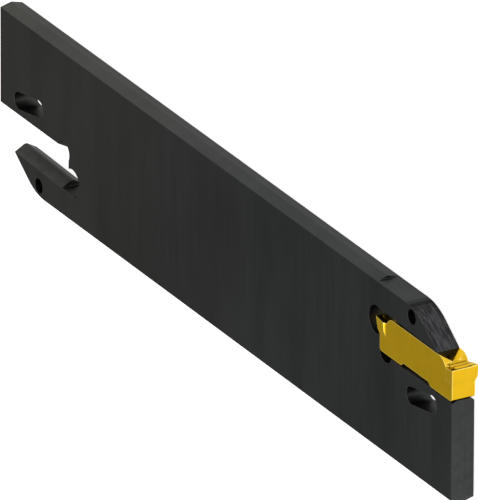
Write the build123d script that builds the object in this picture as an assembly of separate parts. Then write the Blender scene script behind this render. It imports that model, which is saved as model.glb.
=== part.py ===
from build123d import *
import os
from math import radians, tan

os.makedirs("parts", exist_ok=True)

# Blade: a flat bar with an insert seat in each end. Millimetres and degrees.
blade_length = 150.0
blade_thickness = 4.13
face_height = 29.2        # height of each flat face, between the bevelled long edges
edge_bevel = 15.0         # each clamping facet leans this far from square to the faces

# Insert seat. Depths run inwards from the blade's end, drops down from the upper edge of its face.
seat_angle = 30.0         # slope of each flank of the two prismatic seat ridges
seat_crest_width = 0.5    # narrow flat along the top of each ridge
stop_depth = 23.25        # stop face that the insert is pushed against
jaw_drop = 12.13          # foot of the lower ridge, on the blade's face
jaw_lip_length = 1.7      # end of the lower jaw, where the ridge is ground flat
jaw_lip_lowering = 0.76   # the lip stands this far below the line where the flanks would meet
finger_root_depth = 20.9  # where the upper ridge starts, beside the root hole
finger_root_drop = 4.58   # foot of the upper ridge at the root
finger_end_depth = 4.9    # free end of the finger
finger_tip_drop = 4.94    # foot of the upper ridge at the free end, which presses on the insert

# Holes at the bottom of the seat: a clearance for the insert's corner, a root for the spring
corner_hole_radius = 1.98
corner_hole_depth = 21.5
corner_hole_drop = 11.3
root_hole_radius = 2.45
root_hole_depth = 24.5
root_hole_drop = 6.85

# Outside of the finger
edge_flat_depth = 24.4    # from here outwards the bevelled edge is milled flat
nose_angle = 34.7         # slope of the finger's nose
nose_drop = 4.87          # lower end of the nose
nose_radius = 10.0        # blend from the nose to the edge

# Holes for the two-pin release key
key_hole_radius = 1.32
key_hole_depth = 13.1
key_hole_drop = 1.92
key_slot_width = 3.1
key_slot_travel = 6.9     # between the centres of the slot's round ends
key_slot_angle = 9.6
key_slot_depth = 9.7      # middle of the slot
key_slot_drop = 15.22

# Insert. Its heights run up from the two lands that it stands on.
insert_length = 24.6      # from one cutting edge to the other
cutting_width = 5.0
insert_width = 4.28       # body between the two heads
insert_height = 6.68
cutting_edge_height = 5.85
flank_height = 2.1        # clearance face below the cutting edge
flank_angle = 7.0
side_clearance_angle = 4.1
head_inset = 0.65         # how far a cutting edge overhangs the end face of the body
head_step_height = 0.9    # slope between the clearance face and the body
head_step_radius = 1.0
head_length = 2.05        # full-width part of the head
head_blend_radius = 0.8
rake_angle = 9.5
rake_length = 2.75
rake_wall_run = 1.1       # slope from the rake up to the top of the body
rake_radius = 0.5
crest_radius = 2.0        # from the wall into the top of the body
top_groove_runout = 0.25  # the groove on top runs this far past the foot of the wall
land_recess_length = 8.0
land_recess_depth = 0.6
land_recess_ramp = 0.75
insert_corner_radius = 0.6
lower_groove_setback = 1.2  # the groove underneath stops short of the end faces

# Groove across the rake and a rounded rib behind it, which curl the chip
chip_groove_setback = 1.0  # behind the cutting edge
chip_groove_radius = 1.4
chip_groove_depth = 0.2   # below the rake
chip_groove_length = 4.4
chip_rib_setback = 2.8
chip_rib_radius = 0.5
chip_rib_rise = 0.55      # above the rake
chip_rib_length = 3.75

# Fits between the insert and the blade
seat_clearance = 0.02     # along each ridge, across the seat
stop_clearance = 0.03
land_clearance = 0.02     # between the lands and the flat of the lower jaw

# Sizes that follow from the ones above. Heights run up from the blade's mid-height.
half_length = blade_length / 2
face_top = face_height / 2
edge_ridge = blade_thickness / 2 * tan(radians(edge_bevel))
seat_slope = tan(radians(seat_angle))
seat_ridge = blade_thickness / 2 * seat_slope
crest_drop = seat_crest_width / 2 * seat_slope
jaw_apex = face_top - jaw_drop + seat_ridge  # where the flanks would meet, above the narrow flat
finger_root_height = face_top - finger_root_drop
root_apex = finger_root_height - seat_ridge
tip_apex = face_top - finger_tip_drop - seat_ridge
corner_hole_height = face_top - corner_hole_drop
root_hole_height = face_top - root_hole_drop
finger_end = half_length - finger_end_depth
finger_root = half_length - finger_root_depth
stop_face = half_length - stop_depth
margin = blade_thickness  # how far cutters reach past what they cut

insert_body_half = insert_length / 2 - head_inset
insert_centre = stop_face + stop_clearance + insert_body_half
insert_top_apex = tip_apex - seat_clearance
lower_groove_apex = jaw_apex + seat_clearance
jaw_flat_height = jaw_apex - jaw_lip_lowering
land_height = jaw_flat_height + land_clearance
tip_inset = flank_height * tan(radians(flank_angle))


def through(sketch):
    """Prism of a sketch in the blade's plane, through its thickness and past both faces."""
    return extrude(sketch, amount=margin, both=True)


def blade_bar():
    """Flat bar whose long edges are shallow roofs, which a clamping block grips."""
    half_thickness = blade_thickness / 2
    section = Polygon(
        (face_top, half_thickness),
        (face_top + edge_ridge, 0),
        (face_top, -half_thickness),
        (-face_top, -half_thickness),
        (-face_top - edge_ridge, 0),
        (-face_top, half_thickness),
        align=None,
    )
    return extrude(Plane.YZ * section, amount=half_length, both=True)


def ridge_outline(apex, upwards):
    """Points across a ridge, from past one face to past the other, seen along the blade."""
    crest = seat_crest_width / 2
    crest_level = apex - upwards * crest_drop
    far_level = apex - upwards * margin * seat_slope
    return [(far_level, -margin), (crest_level, -crest), (crest_level, crest), (far_level, margin)]


def seat_section(position, upper_apex):
    """Gap between the two facing ridges, seen along the blade."""
    lower = ridge_outline(jaw_apex, 1)
    upper = ridge_outline(upper_apex, -1)
    return Plane.YZ.offset(position) * Polygon(*lower, *reversed(upper), align=None)


def seat_opening():
    """Space between the jaw and the finger, which closes a little towards the finger's tip."""
    return loft([seat_section(finger_root, root_apex), seat_section(finger_end, tip_apex)], ruled=True)


def mouth_opening():
    """Space above the lower jaw, beyond the end of the finger."""
    top = face_top + margin
    outline = Polygon(*ridge_outline(jaw_apex, 1), (top, margin), (top, -margin), align=None)
    opening = Plane.YZ.offset(finger_end) * outline
    return extrude(opening, amount=finger_end_depth + margin, dir=(1, 0, 0))


def jaw_lip():
    """Flat ground on the last stretch of the lower ridge, under the insert's front land."""
    lip_start = half_length - jaw_lip_length
    outline = Polygon(
        (lip_start, jaw_flat_height),
        (half_length + margin, jaw_flat_height),
        (half_length + margin, jaw_apex + seat_ridge),
        (lip_start, jaw_apex + seat_ridge),
        align=None,
    )
    return through(outline)


def seat_bottom():
    """Stop face with the corner hole below it and the finger's root hole above it."""
    corner_hole = Pos(half_length - corner_hole_depth, corner_hole_height) * Circle(corner_hole_radius)
    root_hole = Pos(half_length - root_hole_depth, root_hole_height) * Circle(root_hole_radius)
    well = Polygon(
        (stop_face, corner_hole_height),
        (finger_root, corner_hole_height),
        (finger_root, finger_root_height),
        (half_length - root_hole_depth, root_hole_height + root_hole_radius),
        (stop_face, root_hole_height),
        align=None,
    )
    return through(corner_hole + root_hole + well)


def finger_outside():
    """Cut that gives the finger its flat back, its sloping nose and its end."""
    nose_corner = (finger_end - nose_drop / tan(radians(nose_angle)), face_top)
    seat_middle = (jaw_apex + tip_apex) / 2
    outline = Polygon(
        (half_length - edge_flat_depth, face_top),
        nose_corner,
        (finger_end, face_top - nose_drop),
        (finger_end, seat_middle),
        (half_length + margin, seat_middle),
        (half_length + margin, face_top + margin),
        (half_length - edge_flat_depth, face_top + margin),
        align=None,
    )
    corner = outline.vertices().sort_by_distance(nose_corner)[0]
    return through(fillet(corner, nose_radius))


def key_holes():
    """Round hole in the finger and slanted slot in the jaw, for the release key's pins."""
    hole = Pos(half_length - key_hole_depth, face_top - key_hole_drop) * Circle(key_hole_radius)
    slot = SlotCenterToCenter(key_slot_travel, key_slot_width, rotation=key_slot_angle)
    slot = Pos(half_length - key_slot_depth, face_top - key_slot_drop) * slot
    return through(hole) + through(slot)


def blade_body():
    """Blade with the same seat at each end, one turned half round from the other."""
    end_cuts = [seat_opening(), mouth_opening(), jaw_lip(), seat_bottom(), finger_outside(), key_holes()]
    body = blade_bar()
    for turn in (0, 180):
        for cut in end_cuts:
            body -= Rot(Z=turn) * cut
    return body


def insert_side():
    """Side view of the insert: lands below, a raked cutting head at each end."""
    half = insert_length / 2
    rake_end = half - rake_length
    rake_foot = rake_height(rake_length)
    flank_foot = cutting_edge_height - flank_height
    top_end = rake_end - rake_wall_run
    recess_end = land_recess_length / 2
    right_half = Polygon(
        (0, land_recess_depth),
        (recess_end, land_recess_depth),
        (recess_end + land_recess_ramp, 0),
        (insert_body_half, 0),
        (insert_body_half, flank_foot - head_step_height),
        (half - tip_inset, flank_foot),
        (half, cutting_edge_height),
        (rake_end, rake_foot),
        (top_end, insert_height),
        (0, insert_height),
        align=None,
    )
    rounded = [
        ((rake_end, rake_foot), rake_radius),
        ((top_end, insert_height), crest_radius),
        ((insert_body_half, 0), insert_corner_radius),
        ((insert_body_half, flank_foot - head_step_height), head_step_radius),
        ((half - tip_inset, flank_foot), head_step_radius),
    ]
    for corner, radius in rounded:
        right_half = fillet(right_half.vertices().sort_by_distance(corner)[0], radius)
    return right_half + mirror(right_half, about=Plane.YZ)


def insert_front():
    """End view of the insert: the head overhangs the body and narrows downwards."""
    flank_foot = cutting_edge_height - flank_height
    half_cutting = cutting_width / 2
    half_foot = half_cutting - flank_height * tan(radians(side_clearance_angle))
    half_body = insert_width / 2
    right_half = Polygon(
        (0, 0),
        (0, half_body),
        (flank_foot - head_step_height, half_body),
        (flank_foot, half_foot),
        (cutting_edge_height, half_cutting),
        (insert_height, half_cutting),
        (insert_height, 0),
        align=None,
    )
    return right_half + mirror(right_half, about=Plane.XZ)


def insert_waist():
    """Space beside the body between the two heads, with a hollow blend at each end."""
    length = insert_length - 2 * head_length
    depth = head_blend_radius + cutting_width
    pocket = RectangleRounded(length, depth, head_blend_radius)
    side = extrude(Plane.XZ * pocket, amount=insert_height + margin, both=True)
    offset_from_middle = insert_width / 2 + depth / 2
    return [Pos(0, 0, offset_from_middle) * side, Pos(0, 0, -offset_from_middle) * side]


def insert_grooves():
    """Prismatic grooves above and below, which fit over the ridges of the seat."""
    spread = margin * seat_slope
    top_apex = insert_top_apex - land_height
    upper = Polygon(
        (top_apex, 0),
        (top_apex + spread, margin),
        (top_apex + spread, -margin),
        align=None,
    )
    lower_apex = lower_groove_apex - land_height
    lower = Polygon(
        (lower_apex, 0),
        (lower_apex - spread, margin),
        (lower_apex - spread, -margin),
        align=None,
    )
    upper_half = insert_length / 2 - rake_length + top_groove_runout
    lower_half = insert_body_half - lower_groove_setback
    upper_cut = extrude(Plane.YZ * upper, amount=upper_half, both=True)
    lower_cut = extrude(Plane.YZ * lower, amount=lower_half, both=True)
    return [upper_cut, lower_cut]


def rake_height(setback):
    """Height of the rake at a distance behind the cutting edge."""
    return cutting_edge_height - setback * tan(radians(rake_angle))


def bars_across(setback, centre_height, radius, length):
    """Bar with round ends, across each head of the insert."""
    position = insert_length / 2 - setback
    end = length / 2 - radius
    bar = Cylinder(radius, 2 * end) + Pos(0, 0, end) * Sphere(radius) + Pos(0, 0, -end) * Sphere(radius)
    return [Pos(position, centre_height, 0) * bar, Pos(-position, centre_height, 0) * bar]


def chip_ribs():
    """Rounded rib across the rake, at the foot of each wall."""
    centre_height = rake_height(chip_rib_setback) + chip_rib_rise - chip_rib_radius
    return bars_across(chip_rib_setback, centre_height, chip_rib_radius, chip_rib_length)


def chip_grooves():
    """Shallow groove across the rake, just behind each cutting edge."""
    centre_height = rake_height(chip_groove_setback) - chip_groove_depth + chip_groove_radius
    return bars_across(chip_groove_setback, centre_height, chip_groove_radius, chip_groove_length)


def cutting_insert():
    """Insert with a cutting edge at each end, in its place in the right-hand seat."""
    body = extrude(insert_side(), amount=cutting_width, both=True)
    body &= extrude(Plane.YZ * insert_front(), amount=insert_length, both=True)
    for cut in insert_waist() + insert_grooves() + chip_grooves():
        body -= cut
    for rib in chip_ribs():
        body += rib
    return Pos(insert_centre, land_height, 0) * body


# The blade lies on its back face, with the origin below the middle of the whole part
insert_tip = insert_centre + insert_length / 2
reach = max(insert_tip, half_length)
resting_height = max(cutting_width, blade_thickness) / 2
placed = Pos((half_length - reach) / 2, 0, resting_height)

parts = {
    "blade_body": placed * blade_body(),
    "cutting_insert": placed * cutting_insert(),
}
for name, part in parts.items():
    export_step(part, f"parts/{name}.step")
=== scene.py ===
# %% [markdown]
# # A parting blade with a gold-coated insert
#
# A parting blade is a thin bar of hardened tool steel. In a lathe it cuts a turned workpiece off its bar.
# Each end has a seat for a small carbide insert, which a sprung finger of the blade itself clamps.
# The solids come ready made, in metres, lying on the blade's back. They could be modelled again here, but
# their shapes are right, so this lesson leaves them alone. It gives them their finishes: steel that was
# ground and then blackened, and carbide with a gold-coloured hard coating.

# %% Load the solids
from math import radians

import bpy
from mathutils import Euler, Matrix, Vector


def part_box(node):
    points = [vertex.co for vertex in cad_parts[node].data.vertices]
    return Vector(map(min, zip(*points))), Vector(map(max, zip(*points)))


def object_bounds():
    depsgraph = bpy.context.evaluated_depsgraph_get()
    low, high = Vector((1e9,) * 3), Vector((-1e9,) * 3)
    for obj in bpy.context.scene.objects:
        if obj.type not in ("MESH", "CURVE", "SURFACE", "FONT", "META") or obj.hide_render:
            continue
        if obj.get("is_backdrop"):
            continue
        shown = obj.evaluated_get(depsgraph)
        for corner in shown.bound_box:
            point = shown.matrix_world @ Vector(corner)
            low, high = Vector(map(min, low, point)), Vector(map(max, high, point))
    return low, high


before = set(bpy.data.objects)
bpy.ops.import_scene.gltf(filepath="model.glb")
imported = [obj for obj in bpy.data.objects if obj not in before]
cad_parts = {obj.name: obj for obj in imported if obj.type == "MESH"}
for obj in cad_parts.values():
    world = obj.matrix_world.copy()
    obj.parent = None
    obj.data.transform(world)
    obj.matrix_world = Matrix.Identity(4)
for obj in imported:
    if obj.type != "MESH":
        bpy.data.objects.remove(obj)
cad_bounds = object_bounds()
MM = 0.001
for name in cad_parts:
    low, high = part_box(name)
    print(name, [round(length / MM, 2) for length in high - low], "mm")

# %% [markdown]
# ## The camera
#
# Some catalogue pictures of tools have almost no perspective: both ends of the blade are drawn equally
# large. A normal lens near the tool would make the near end larger. An orthographic camera has one fixed
# width, which doesn't suit views from other sides. So this is a perspective camera with a very long lens,
# 3.6 m away, whose lines of sight are nearly parallel. It is also turned so that the blade seems to stand
# up on its edge, while here it lies on its back.

# %% Camera
LENS = 1600.0
CAMERA_DISTANCE = 3.6192
CAMERA_TURN = Euler((radians(-23.958), radians(60.624), radians(0.343)), "XYZ")
AIM = Vector((0.565, -0.107, 2.0)) * MM

camera_data = bpy.data.cameras.new("camera")
camera_data.lens = LENS
camera_data.clip_start = 0.1
camera_data.clip_end = 10.0
camera = bpy.data.objects.new("camera", camera_data)
camera.rotation_euler = CAMERA_TURN
camera.location = AIM + CAMERA_TURN.to_matrix() @ Vector((0, 0, CAMERA_DISTANCE))
bpy.context.scene.collection.objects.link(camera)
bpy.context.scene.camera = camera
print("camera at", [round(c, 3) for c in camera.location], "m")

# %% [markdown]
# ## Two helpers for materials
#
# A colour picked from a picture is an sRGB value, and a shader works with linear light. One function turns
# a hex value into linear numbers. The other adds a node, with its settings and its links, in one call. An
# input is named as Blender names it, or numbered where several have one name. It takes a plain value,
# another node's socket, or another node, which stands for its first output.

# %% Colours


def linear(hex_colour):
    """Linear RGBA of an sRGB hex value such as "#2b2c2d"."""
    channels = [int(hex_colour[i:i + 2], 16) / 255 for i in (1, 3, 5)]
    straight = [c / 12.92 if c <= 0.04045 else ((c + 0.055) / 1.055) ** 2.4 for c in channels]
    return (*straight, 1.0)


print("mid grey #808080 is", [round(c, 3) for c in linear("#808080")[:3]], "in linear light")

# %% Nodes
COLOURS = {"data_type": "RGBA"}


def add_node(tree, kind, settings=None, **inputs):
    """New shader node. An input is named, or numbered as i0, i1 and so on."""
    node = tree.nodes.new("ShaderNode" + kind)
    for key, value in (settings or {}).items():
        setattr(node, key, value)
    live = [socket for socket in node.inputs if socket.enabled]
    for key, value in inputs.items():
        label = key.replace("_", " ")
        socket = live[int(key[1:])] if key[1:].isdigit() else next(s for s in live if s.name == label)
        if isinstance(value, bpy.types.Node):
            value = next(output for output in value.outputs if output.enabled)
        if isinstance(value, bpy.types.NodeSocket):
            tree.links.new(value, socket)
        else:
            socket.default_value = value
    return node


def new_material(name):
    """Material with an empty node tree."""
    material = bpy.data.materials.new(name)
    material.use_nodes = True
    material.node_tree.nodes.clear()
    return material


print("colour mixes use the setting", COLOURS)

# %% [markdown]
# ## Patterns that a machined surface needs
#
# Grinding and pressing leave marks that are drawn out along the way the tool moved. They could be a bundle
# of waves, but real marks start and stop. So each pattern is noise, stretched along the marks, with its
# spacing in millimetres. A Bevel node rounds the normals near an edge without changing the mesh. Where the
# rounded normal and the true one differ there is an edge, and that gives a mask for wear. The mask may
# reach further than the rounding itself does.

# %% Patterns
EVEN_STRETCH = (1.0, 1.0, 1.0)
BEVEL_QUALITY = {"samples": 8}
# Values that noise mostly lies between, for a soft pattern and for a crisp one
SOFT_LOW = 0.3
SOFT_HIGH = 0.7
CRISP_LOW = 0.35
CRISP_HIGH = 0.65
# How well the true normal and the rounded one agree, on a flat place and on a sharp edge
FLAT_AGREEMENT = 0.995
EDGE_AGREEMENT = 0.90


def drawn_noise(tree, place, spacing, stretch):
    """Noise of one spacing, drawn out along the axes whose stretch is less than 1."""
    scaled = add_node(tree, "Mapping", Vector=place, Scale=[share / spacing for share in stretch])
    return add_node(tree, "TexNoise", Vector=scaled, Scale=1.0, Detail=3.0, Roughness=0.6)


def edge_mask(tree, reach):
    """1 on sharp edges, and 0 further from them than the reach."""
    rounded = add_node(tree, "Bevel", BEVEL_QUALITY, Radius=reach)
    normal = add_node(tree, "NewGeometry").outputs["True Normal"]
    product = add_node(tree, "VectorMath", {"operation": "DOT_PRODUCT"}, i0=normal, i1=rounded)
    agreement = product.outputs["Value"]
    return add_node(tree, "MapRange", Value=agreement, From_Min=FLAT_AGREEMENT, From_Max=EDGE_AGREEMENT)


print("patterns are drawn in millimetres, and 1 mm is", MM, "m")

# %% [markdown]
# ## Ground and blackened tool steel
#
# The bar is hardened tool steel. Its flat faces are ground across, and its long edges are ground along
# their length. The seats, slots and ends are cut by wire, which leaves them duller. The sloping noses are
# ground by hand on a coarse wheel. The whole bar then goes into a hot blackening bath, which turns the
# outermost micrometre of steel into black iron oxide. The marks stay visible through it. The bath leaves
# the black uneven: a little warmer and lighter towards the empty end, with soft stripes and clouds.
#
# One dark metal with several masks is enough for all of this. The direction that a surface faces, and how
# far it is from the blade's middle line, tell which tool made it.

# %% Which tool made each surface
NOSE_FOOT = 9.0 * MM
NOSE_FULL = 9.9 * MM
BEVEL_FOOT = 14.3 * MM
# How upright the normal is on a steep surface, and on a flat face
STEEP = 0.75
FLAT = 0.95
# How slanted the normal is at the start of a nose's bend, past it, and on the straight part of the nose
BEND_START = 0.02
BEND_END = 0.10
NOSE_SLANT = 0.36


def tool_masks(tree, place):
    """Masks of the flat faces, the noses, the noses beyond their bend, and what was cut by wire."""
    normal = add_node(tree, "NewGeometry").outputs["True Normal"]
    x, y, z = add_node(tree, "SeparateXYZ", Vector=normal).outputs
    upright = add_node(tree, "Math", {"operation": "ABSOLUTE"}, i0=z)
    on_face = add_node(tree, "MapRange", Value=upright, From_Min=STEEP, From_Max=FLAT)

    height = add_node(tree, "SeparateXYZ", Vector=place).outputs["Y"]
    from_middle = add_node(tree, "Math", {"operation": "ABSOLUTE"}, i0=height)
    outside = add_node(tree, "MapRange", Value=from_middle, From_Min=NOSE_FOOT, From_Max=NOSE_FULL)
    product = add_node(tree, "Math", {"operation": "MULTIPLY"}, i0=x, i1=y)
    slant = add_node(tree, "Math", {"operation": "ABSOLUTE"}, i0=product)
    sloping = add_node(tree, "MapRange", Value=slant, From_Min=BEND_START, From_Max=BEND_END)
    on_nose = add_node(tree, "Math", {"operation": "MULTIPLY"}, i0=outside, i1=sloping)
    past_bend = add_node(tree, "MapRange", Value=slant, From_Min=BEND_END, From_Max=NOSE_SLANT)

    inside = add_node(tree, "Math", {"operation": "LESS_THAN"}, i0=from_middle, i1=BEVEL_FOOT)
    ground = add_node(tree, "Math", {"operation": "MAXIMUM"}, i0=on_face, i1=on_nose)
    wire_cut = add_node(tree, "Math", {"operation": "SUBTRACT", "use_clamp": True}, i0=inside, i1=ground)
    return on_face, on_nose, past_bend, wire_cut


print("noses start", round(NOSE_FOOT / MM, 1), "mm from the middle line, bevels", round(BEVEL_FOOT / MM, 1))

# %% [markdown]
# ### The oxide
#
# Black oxide is never one flat black. Stripes run across the bar, where it was ground, and larger clouds
# show where the bath was hotter. Two noises of those two sizes mix a darker black with a lighter one. Both
# blacks change from a warm one at the empty end to a cool one past the middle.

# %% Colour of the black
STRIPE_WIDTH = 5.0 * MM
CLOUD_SIZE = 22.0 * MM
STAIN_SIZE = 1.2 * MM
WARM_END = -75.0 * MM
COOL_FROM = 15.0 * MM
WARM_DARK = "#42413e"
COOL_DARK = "#363737"
WARM_LIGHT = "#4a4945"
COOL_LIGHT = "#414243"
STAIN_COLOUR = "#2d2d2e"
LEAST_STAIN = 0.15
MOST_STAIN = 0.65
# Two mixed noises stay nearer to the middle than one does
MIXED_LOW = 0.38
MIXED_HIGH = 0.62


def uneven_black(tree, place, wire_cut):
    """Colour of the oxide, and the noise that makes it uneven."""
    x = add_node(tree, "SeparateXYZ", Vector=place)
    drift = add_node(tree, "MapRange", Value=x, From_Min=WARM_END, From_Max=COOL_FROM)
    stripes = drawn_noise(tree, place, STRIPE_WIDTH, stretch=(1.0, 0.12, 0.3))
    clouds = drawn_noise(tree, place, CLOUD_SIZE, stretch=(1.0, 0.6, 1.0))
    uneven = add_node(tree, "Mix", Factor=0.5, A=stripes, B=clouds)
    patchy = add_node(tree, "MapRange", Value=uneven, From_Min=MIXED_LOW, From_Max=MIXED_HIGH)
    dark = add_node(tree, "Mix", COLOURS, Factor=drift, A=linear(WARM_DARK), B=linear(COOL_DARK))
    light = add_node(tree, "Mix", COLOURS, Factor=drift, A=linear(WARM_LIGHT), B=linear(COOL_LIGHT))
    black = add_node(tree, "Mix", COLOURS, Factor=patchy, A=dark, B=light)

    stains = drawn_noise(tree, place, STAIN_SIZE, stretch=(0.6, 1.0, 1.0))
    stained = add_node(
        tree,
        "MapRange",
        Value=stains,
        From_Min=SOFT_LOW,
        From_Max=SOFT_HIGH,
        To_Min=LEAST_STAIN,
        To_Max=MOST_STAIN,
    )
    dull = add_node(tree, "Math", {"operation": "MULTIPLY"}, i0=wire_cut, i1=stained)
    colour = add_node(tree, "Mix", COLOURS, Factor=dull, A=black, B=linear(STAIN_COLOUR))
    return colour, uneven


print("stripes are about", round(STRIPE_WIDTH / MM, 1), "mm apart, stains", round(STAIN_SIZE / MM, 1), "mm")

# %% [markdown]
# ### The grinding marks
#
# Fine grinding leaves lines about 0.05 mm apart, and a coarse wheel about 0.1 mm. Both are too fine to show
# in a picture of the whole blade, so they are drawn 0.3 and 0.25 mm apart. The lines on the flat faces run
# across the blade and those on its long edges run along it, so one mask picks between two noises. At the
# bend of each nose the wheel left a darker, smoky band.

# %% Marks of the grinding
LINE_SPACING = 0.3 * MM
WHEEL_SPACING = 0.25 * MM
SCRATCH_DARK = "#1d1d1e"
SCRATCH_LIGHT = "#4a4a4c"
SMOKE_COLOUR = "#1c1c1c"


def grinding_marks(tree, place, on_face):
    """Noise of the fine lines and of the coarse wheel's scratches."""
    across = drawn_noise(tree, place, LINE_SPACING, stretch=(1.0, 0.02, 1.0))
    along = drawn_noise(tree, place, LINE_SPACING, stretch=(0.02, 0.02, 1.0))
    lines = add_node(tree, "Mix", Factor=on_face, A=along, B=across)
    scratches = drawn_noise(tree, place, WHEEL_SPACING, stretch=(0.1, 0.1, 1.0))
    return lines, scratches


def wheel_colour(tree, scratches, past_bend):
    """Colour of the noses: light scratches on black, and a smoky band at the bend."""
    light = add_node(tree, "MapRange", Value=scratches, From_Min=CRISP_LOW, From_Max=CRISP_HIGH)
    scratched = add_node(tree, "Mix", COLOURS, Factor=light, A=linear(SCRATCH_DARK), B=linear(SCRATCH_LIGHT))
    return add_node(tree, "Mix", COLOURS, Factor=past_bend, A=linear(SMOKE_COLOUR), B=scratched)


print("lines are drawn", LINE_SPACING / MM, "mm apart, and the wheel's scratches", WHEEL_SPACING / MM, "mm")

# %% [markdown]
# ### The finished steel
#
# Oxide on steel still mirrors as a metal does, only darkly and softly, so the shader is fully metallic with
# a middling roughness. Handling rubs the black off sharp edges first, so they are a little lighter, and the
# same lighter colour also serves as a painted highlight along the edges.

# %% Blackened steel
EDGE_ROUNDING = 0.12 * MM
MARK_DEPTH = 0.01 * MM
LINE_STRENGTH = 0.4
EDGE_WEAR_AND_HIGHLIGHT = 0.2
LINE_COLOUR = "#4b4c4b"
WORN_AND_HIGHLIGHT_COLOUR = "#8a8b8a"
STEEL_GRAZING_TINT = "#c0c0c0"
SMOOTHEST_STEEL = 0.34
ROUGHEST_STEEL = 0.46


def blackened_steel():
    """Ground tool steel with a black oxide finish."""
    material = new_material("ground_blackened_tool_steel")
    tree = material.node_tree
    place = add_node(tree, "TexCoord").outputs["Object"]
    on_face, on_nose, past_bend, wire_cut = tool_masks(tree, place)
    lines, scratches = grinding_marks(tree, place, on_face)
    black, uneven = uneven_black(tree, place, wire_cut)

    marked = add_node(
        tree, "MapRange", Value=lines, From_Min=SOFT_LOW, From_Max=SOFT_HIGH, To_Max=LINE_STRENGTH
    )
    lined = add_node(tree, "Mix", COLOURS, Factor=marked, A=black, B=linear(LINE_COLOUR))
    wheel = wheel_colour(tree, scratches, past_bend)
    ground = add_node(tree, "Mix", COLOURS, Factor=on_nose, A=lined, B=wheel)
    # Partly real wear and partly a painted highlight: sharp edges are drawn lighter
    edges = edge_mask(tree, EDGE_ROUNDING)
    worn_and_highlit = add_node(tree, "Math", {"operation": "MULTIPLY"}, i0=edges, i1=EDGE_WEAR_AND_HIGHLIGHT)
    colour = add_node(tree, "Mix", COLOURS, Factor=worn_and_highlit, A=ground, B=linear(WORN_AND_HIGHLIGHT_COLOUR))

    gloss = add_node(tree, "Mix", Factor=0.5, A=lines, B=uneven)
    roughness = add_node(
        tree,
        "MapRange",
        Value=gloss,
        From_Min=SOFT_LOW,
        From_Max=SOFT_HIGH,
        To_Min=SMOOTHEST_STEEL,
        To_Max=ROUGHEST_STEEL,
    )
    height = add_node(tree, "Mix", Factor=on_nose, A=lines, B=scratches)
    rounded = add_node(tree, "Bevel", BEVEL_QUALITY, Radius=EDGE_ROUNDING)
    relief = add_node(tree, "Bump", Strength=0.3, Distance=MARK_DEPTH, Height=height, Normal=rounded)

    shader = add_node(
        tree,
        "BsdfPrincipled",
        Metallic=1.0,
        Base_Color=colour,
        Roughness=roughness,
        Specular_Tint=linear(STEEL_GRAZING_TINT),
        Normal=relief,
    )
    add_node(tree, "OutputMaterial", Surface=shader)
    return material


steel = blackened_steel()
print(steel.name, "has", len(steel.node_tree.nodes), "nodes")

# %% [markdown]
# ## Coated carbide
#
# The insert is pressed from tungsten carbide powder, sintered, ground where it cuts, and coated in a
# vacuum with a few micrometres of titanium nitride, which is a true gold-coloured metal to the eye. The
# coating follows the fine grain of the sintered surface, so it is satin and not polished. Its sharp edges
# get a painted highlight in a paler gold. The two hollows of the chip former, in front of the rib and behind
# the cutting edge, get painted shade in a browner gold. The distance behind the edge says where they are.

# %% Where the hollows get painted shade
FIRST_HOLLOW = 0.8 * MM
HOLLOW_SPACING = 1.4 * MM
LAST_HOLLOW_END = 2.85 * MM
FACING_UP = 0.5
# Where a band starts and where it is full, as shares of half the spacing
BAND_START = 0.3
BAND_FULL = 0.7

insert_low, insert_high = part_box("cutting_insert")
INSERT_MIDDLE = (insert_low.x + insert_high.x) / 2
INSERT_HALF = (insert_high.x - insert_low.x) / 2


def painted_hollow_shade_mask(tree, place):
    """Mask of the painted shade: 1 in the hollows across both chip formers, and 0 elsewhere."""
    half = HOLLOW_SPACING / 2
    x = add_node(tree, "SeparateXYZ", Vector=place)
    offset = add_node(tree, "Math", {"operation": "SUBTRACT"}, i0=x, i1=INSERT_MIDDLE)
    outwards = add_node(tree, "Math", {"operation": "ABSOLUTE"}, i0=offset)
    behind_edge = add_node(tree, "Math", {"operation": "SUBTRACT"}, i0=INSERT_HALF, i1=outwards)
    shifted = add_node(tree, "Math", {"operation": "ADD"}, i0=behind_edge, i1=half - FIRST_HOLLOW)
    waved = add_node(tree, "Math", {"operation": "PINGPONG"}, i0=shifted, i1=half)
    bands = add_node(tree, "MapRange", Value=waved, From_Min=BAND_START * half, From_Max=BAND_FULL * half)
    near = add_node(tree, "Math", {"operation": "LESS_THAN"}, i0=behind_edge, i1=LAST_HOLLOW_END)

    normal = add_node(tree, "NewGeometry").outputs["True Normal"]
    facing = add_node(tree, "SeparateXYZ", Vector=normal).outputs["Y"]
    upwards = add_node(tree, "Math", {"operation": "GREATER_THAN"}, i0=facing, i1=FACING_UP)
    on_top = add_node(tree, "Math", {"operation": "MULTIPLY"}, i0=near, i1=upwards)
    return add_node(tree, "Math", {"operation": "MULTIPLY"}, i0=bands, i1=on_top)


print("insert reaches", round(INSERT_HALF / MM, 2), "mm each way from X", round(INSERT_MIDDLE / MM, 2), "mm")

# %% [markdown]
# ### The finished coating
#
# Grain of about 0.01 mm is too fine to show, so it is drawn 0.25 mm apart and shallow. Large faint patches
# stand for the vapour's uneven reach. The tint at grazing angles is a paler yellow, as on real nitride.

# %% Coated carbide
GRAIN_SIZE = 0.25 * MM
PATCH_SIZE = 3.0 * MM
COATED_EDGE_ROUNDING = 0.04 * MM
HIGHLIGHT_REACH = 0.3 * MM
GRAIN_DEPTH = 0.01 * MM
PAINTED_EDGE_HIGHLIGHT = 0.8
GOLD = "#d2a71b"
PATCH_GOLD = "#d9ad1e"
PAINTED_SHADE_GOLD = "#7d5c10"
HIGHLIGHT_GOLD = "#ffe67c"
GOLD_GRAZING_TINT = "#ffffc6"
SMOOTHEST_COATING = 0.16
ROUGHEST_COATING = 0.22


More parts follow.
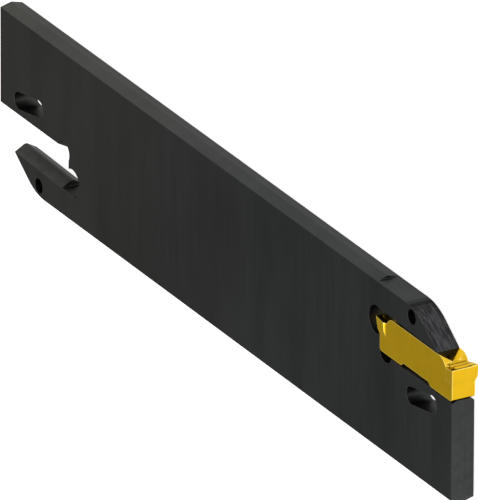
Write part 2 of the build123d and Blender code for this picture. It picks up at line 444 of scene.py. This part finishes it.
def coated_carbide():
    """Sintered carbide with a gold-coloured nitride coating."""
    material = new_material("nitride_coated_carbide")
    tree = material.node_tree
    place = add_node(tree, "TexCoord").outputs["Object"]
    grain = drawn_noise(tree, place, GRAIN_SIZE, EVEN_STRETCH)
    patches = drawn_noise(tree, place, PATCH_SIZE, EVEN_STRETCH)

    patchy = add_node(tree, "MapRange", Value=patches, From_Min=CRISP_LOW, From_Max=CRISP_HIGH)
    gold = add_node(tree, "Mix", COLOURS, Factor=patchy, A=linear(GOLD), B=linear(PATCH_GOLD))
    # Painted shade: the hollows of the chip former are drawn in a browner gold
    painted_shade = painted_hollow_shade_mask(tree, place)
    shaded_gold = add_node(tree, "Mix", COLOURS, Factor=painted_shade, A=gold, B=linear(PAINTED_SHADE_GOLD))
    # Painted highlight: the sharp edges are drawn in a paler, brighter gold
    edges = edge_mask(tree, HIGHLIGHT_REACH)
    painted_highlight = add_node(tree, "Math", {"operation": "MULTIPLY"}, i0=edges, i1=PAINTED_EDGE_HIGHLIGHT)
    colour = add_node(tree, "Mix", COLOURS, Factor=painted_highlight, A=shaded_gold, B=linear(HIGHLIGHT_GOLD))
    roughness = add_node(
        tree,
        "MapRange",
        Value=grain,
        From_Min=SOFT_LOW,
        From_Max=SOFT_HIGH,
        To_Min=SMOOTHEST_COATING,
        To_Max=ROUGHEST_COATING,
    )
    rounded = add_node(tree, "Bevel", BEVEL_QUALITY, Radius=COATED_EDGE_ROUNDING)
    relief = add_node(tree, "Bump", Strength=0.15, Distance=GRAIN_DEPTH, Height=grain, Normal=rounded)

    shader = add_node(
        tree,
        "BsdfPrincipled",
        Metallic=1.0,
        Base_Color=colour,
        Roughness=roughness,
        Specular_Tint=linear(GOLD_GRAZING_TINT),
        Normal=relief,
    )
    add_node(tree, "OutputMaterial", Surface=shader)
    return material


carbide = coated_carbide()
print(carbide.name, "has", len(carbide.node_tree.nodes), "nodes")

# %% [markdown]
# ## Dress the solids
#
# Each solid is one piece of one material, as on the real tool: the finger and the jaw are cut from the
# same steel as the rest of the blade. So each gets one slot, and its mesh is left alone.

# %% Dress the solids
finishes = {"blade_body": steel, "cutting_insert": carbide}
for name, material in finishes.items():
    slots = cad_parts[name].data.materials
    slots.clear()
    slots.append(material)
    print(name, "is", material.name)

# %% [markdown]
# ## The floor
#
# Catalogue pictures lay a small tool on a light table: a sheet of opal acrylic that is lit from below until
# it is pure white. It could be a plain board under strong lamps, but then the blade throws a grey shadow
# and the walls of its holes go black. A sheet that glows does neither, and it is what dark metal mirrors.
# It is far wider than the blade, so its rim lies outside the picture.

# %% Floor
FLOOR_SIZE = 6.0
FLOOR_GLOW = 0.90
OPAL_COLOUR = "#b3b3b3"
LAMP_COLOUR = "#ffffff"


def light_table():
    """Backlit white sheet under the whole scene."""
    half = FLOOR_SIZE / 2
    mesh = bpy.data.meshes.new("floor")
    corners = [(-half, -half, 0), (half, -half, 0), (half, half, 0), (-half, half, 0)]
    mesh.from_pydata(corners, [], [(0, 1, 2, 3)])
    floor = bpy.data.objects.new("floor", mesh)
    bpy.context.scene.collection.objects.link(floor)
    material = new_material("backlit_opal_acrylic")
    tree = material.node_tree
    shader = add_node(
        tree,
        "BsdfPrincipled",
        Base_Color=linear(OPAL_COLOUR),
        Roughness=0.9,
        Emission_Color=linear(LAMP_COLOUR),
        Emission_Strength=FLOOR_GLOW,
    )
    add_node(tree, "OutputMaterial", Surface=shader)
    mesh.materials.append(material)
    return floor


floor = light_table()
floor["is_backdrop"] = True
print("floor is", FLOOR_SIZE, "m across")

# %% [markdown]
# ## The light
#
# Dark metal shows mostly what it mirrors, so the light is soft everywhere: a large panel overhead and an
# even room. The blade's flat face mirrors the dimmer room and stays dark, while its long edges and its end
# mirror the glowing sheet and come out lighter. A panel in front gives the insert the bright line in the
# bend between its rear head and its body. A weak one low behind lightens the jaw of the empty seat and the
# insert's rib, and lifts the near bevel of the long edge a little above the far one.

# %% Lights
ROOM_BRIGHTNESS = 0.48


def soft_panel(name, position, size, power):
    """Square area light that faces the middle of the blade."""
    data = bpy.data.lights.new(name, "AREA")
    data.size = size
    data.energy = power
    panel = bpy.data.objects.new(name, data)
    panel.location = position
    panel.rotation_euler = (-Vector(position)).to_track_quat("-Z", "Y").to_euler()
    bpy.context.scene.collection.objects.link(panel)
    print(name, "gives", power, "W from", round(Vector(position).length, 2), "m")


soft_panel("top_panel", position=(0.0, 0.0, 1.1), size=1.0, power=4.3)
soft_panel("front_panel", position=(0.45, -0.4, 0.8), size=0.4, power=1.0)
soft_panel("back_panel", position=(-0.36, 0.27, 0.1), size=0.25, power=0.18)

room = bpy.data.worlds.new("room")
room.use_nodes = True
background = room.node_tree.nodes["Background"]
background.inputs["Color"].default_value = linear(LAMP_COLOUR)
background.inputs["Strength"].default_value = ROOM_BRIGHTNESS
bpy.context.scene.world = room
print("room gives", ROOM_BRIGHTNESS, "from every side")

# %% [markdown]
# ### Colours as they are
#
# Blender's usual view transform bends bright colours as film does, which turns a white sheet grey and the
# gold pale. A catalogue picture keeps its colours as they are, so the plain one is used.

# %% View transform
bpy.context.scene.view_settings.view_transform = "Standard"
print("view transform is", bpy.context.scene.view_settings.view_transform)

# %% [markdown]
# ## Sizes before and after
#
# Finishes must not change the tool's size. The box of the solids, kept from the start, and the box of the
# dressed part are written side by side, so that they can be compared.

# %% Sizes before and after
sizes = {"cad": [list(corner) for corner in cad_bounds], "visual": [list(corner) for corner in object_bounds()]}
for name, corners in sizes.items():
    print(name, [round((high - low) / MM, 3) for low, high in zip(*corners)], "mm")
